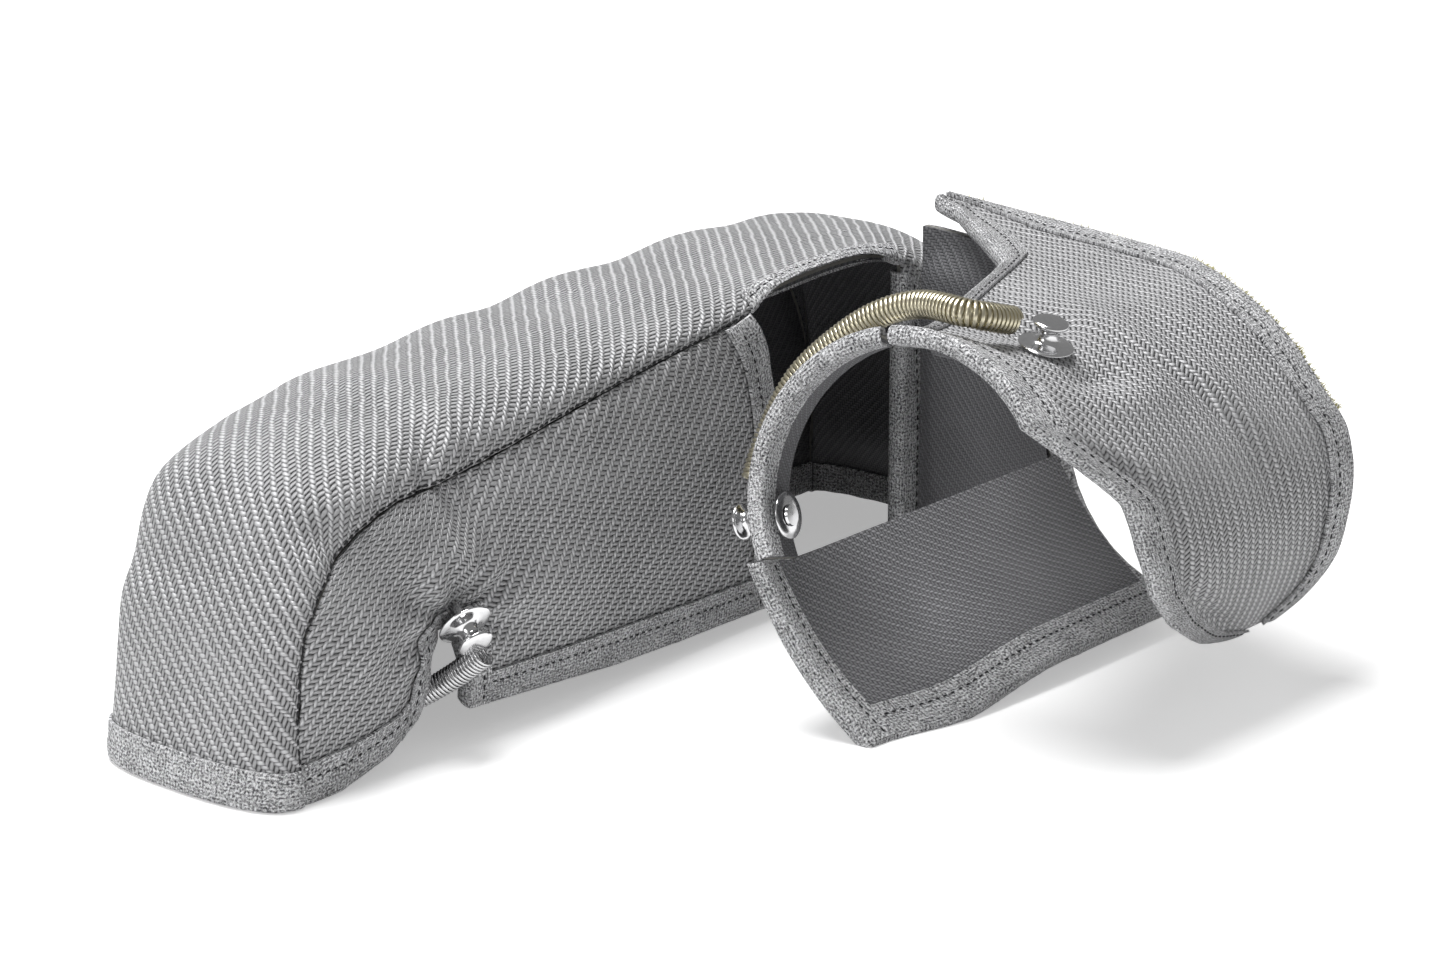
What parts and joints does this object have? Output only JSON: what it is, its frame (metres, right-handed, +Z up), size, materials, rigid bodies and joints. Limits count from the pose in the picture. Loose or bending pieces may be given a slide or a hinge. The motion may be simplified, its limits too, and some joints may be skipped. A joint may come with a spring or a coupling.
{
  "type": "turbo heat blanket",
  "caption": "Fitted insulation blanket for a turbocharger: quilted cloth hoods over felt, bound edges, laced shut with coil springs on lacing posts.",
  "frame": {"origin": "centre of the bounding box's base, on the plane the bottom hems stand on", "axes": "+X along the long hood towards the barrel hood's rim, +Y from the barrel hood to the long hood, +Z up"},
  "size_m": [0.3616, 0.257, 0.141],
  "materials": {
    "cloth": "coated glass twill",
    "felt": "needled felt",
    "liner": "plain woven",
    "tape": "knitted wire tape",
    "post": "polished stainless",
    "spring": "drawn wire"
  },
  "bodies": {
    "root": {"long_hood_top_cloth": "cloth", "long_hood_top_felt": "felt", "long_hood_top_liner": "liner", "front_wall_cloth": "cloth", "front_wall_felt": "felt", "front_wall_liner": "liner", "rear_wall_cloth": "cloth", "rear_wall_felt": "felt", "rear_wall_liner": "liner", "right_front_wall_cloth": "cloth", "right_front_wall_felt": "felt", "right_front_wall_liner": "liner", "barrel_hood_cloth": "cloth", "barrel_hood_felt": "felt", "barrel_hood_liner": "liner", "outlet_collar_cloth": "cloth", "outlet_collar_felt": "felt", "outlet_collar_liner": "liner", "skirt_cloth": "cloth", "skirt_felt": "felt", "skirt_liner": "liner", "right_cheek_cloth": "cloth", "right_cheek_felt": "felt", "right_cheek_liner": "liner", "rim_rear_binding": "tape", "left_end_hem": "tape", "right_end_hem": "tape", "window_top_hem": "tape", "front_hem_left": "tape", "front_hem_right": "tape", "slit_left_hem": "tape", "slit_right_hem": "tape", "window_left_hem": "tape", "rear_hem": "tape", "right_front_hem": "tape", "window_right_hem": "tape", "cutout_hem": "tape", "outlet_hem": "tape", "flap_hem": "tape", "rim_lower_hem": "tape", "rim_upper_hem": "tape", "collar_hem": "tape", "skirt_side_hem": "tape", "skirt_front_hem": "tape", "crown_post": "post", "crown_washer": "post", "slit_post": "post", "slit_washer": "post", "collar_post": "post", "collar_washer": "post", "top_spring": "spring", "slit_spring": "spring"}
  },
  "joints": []
}
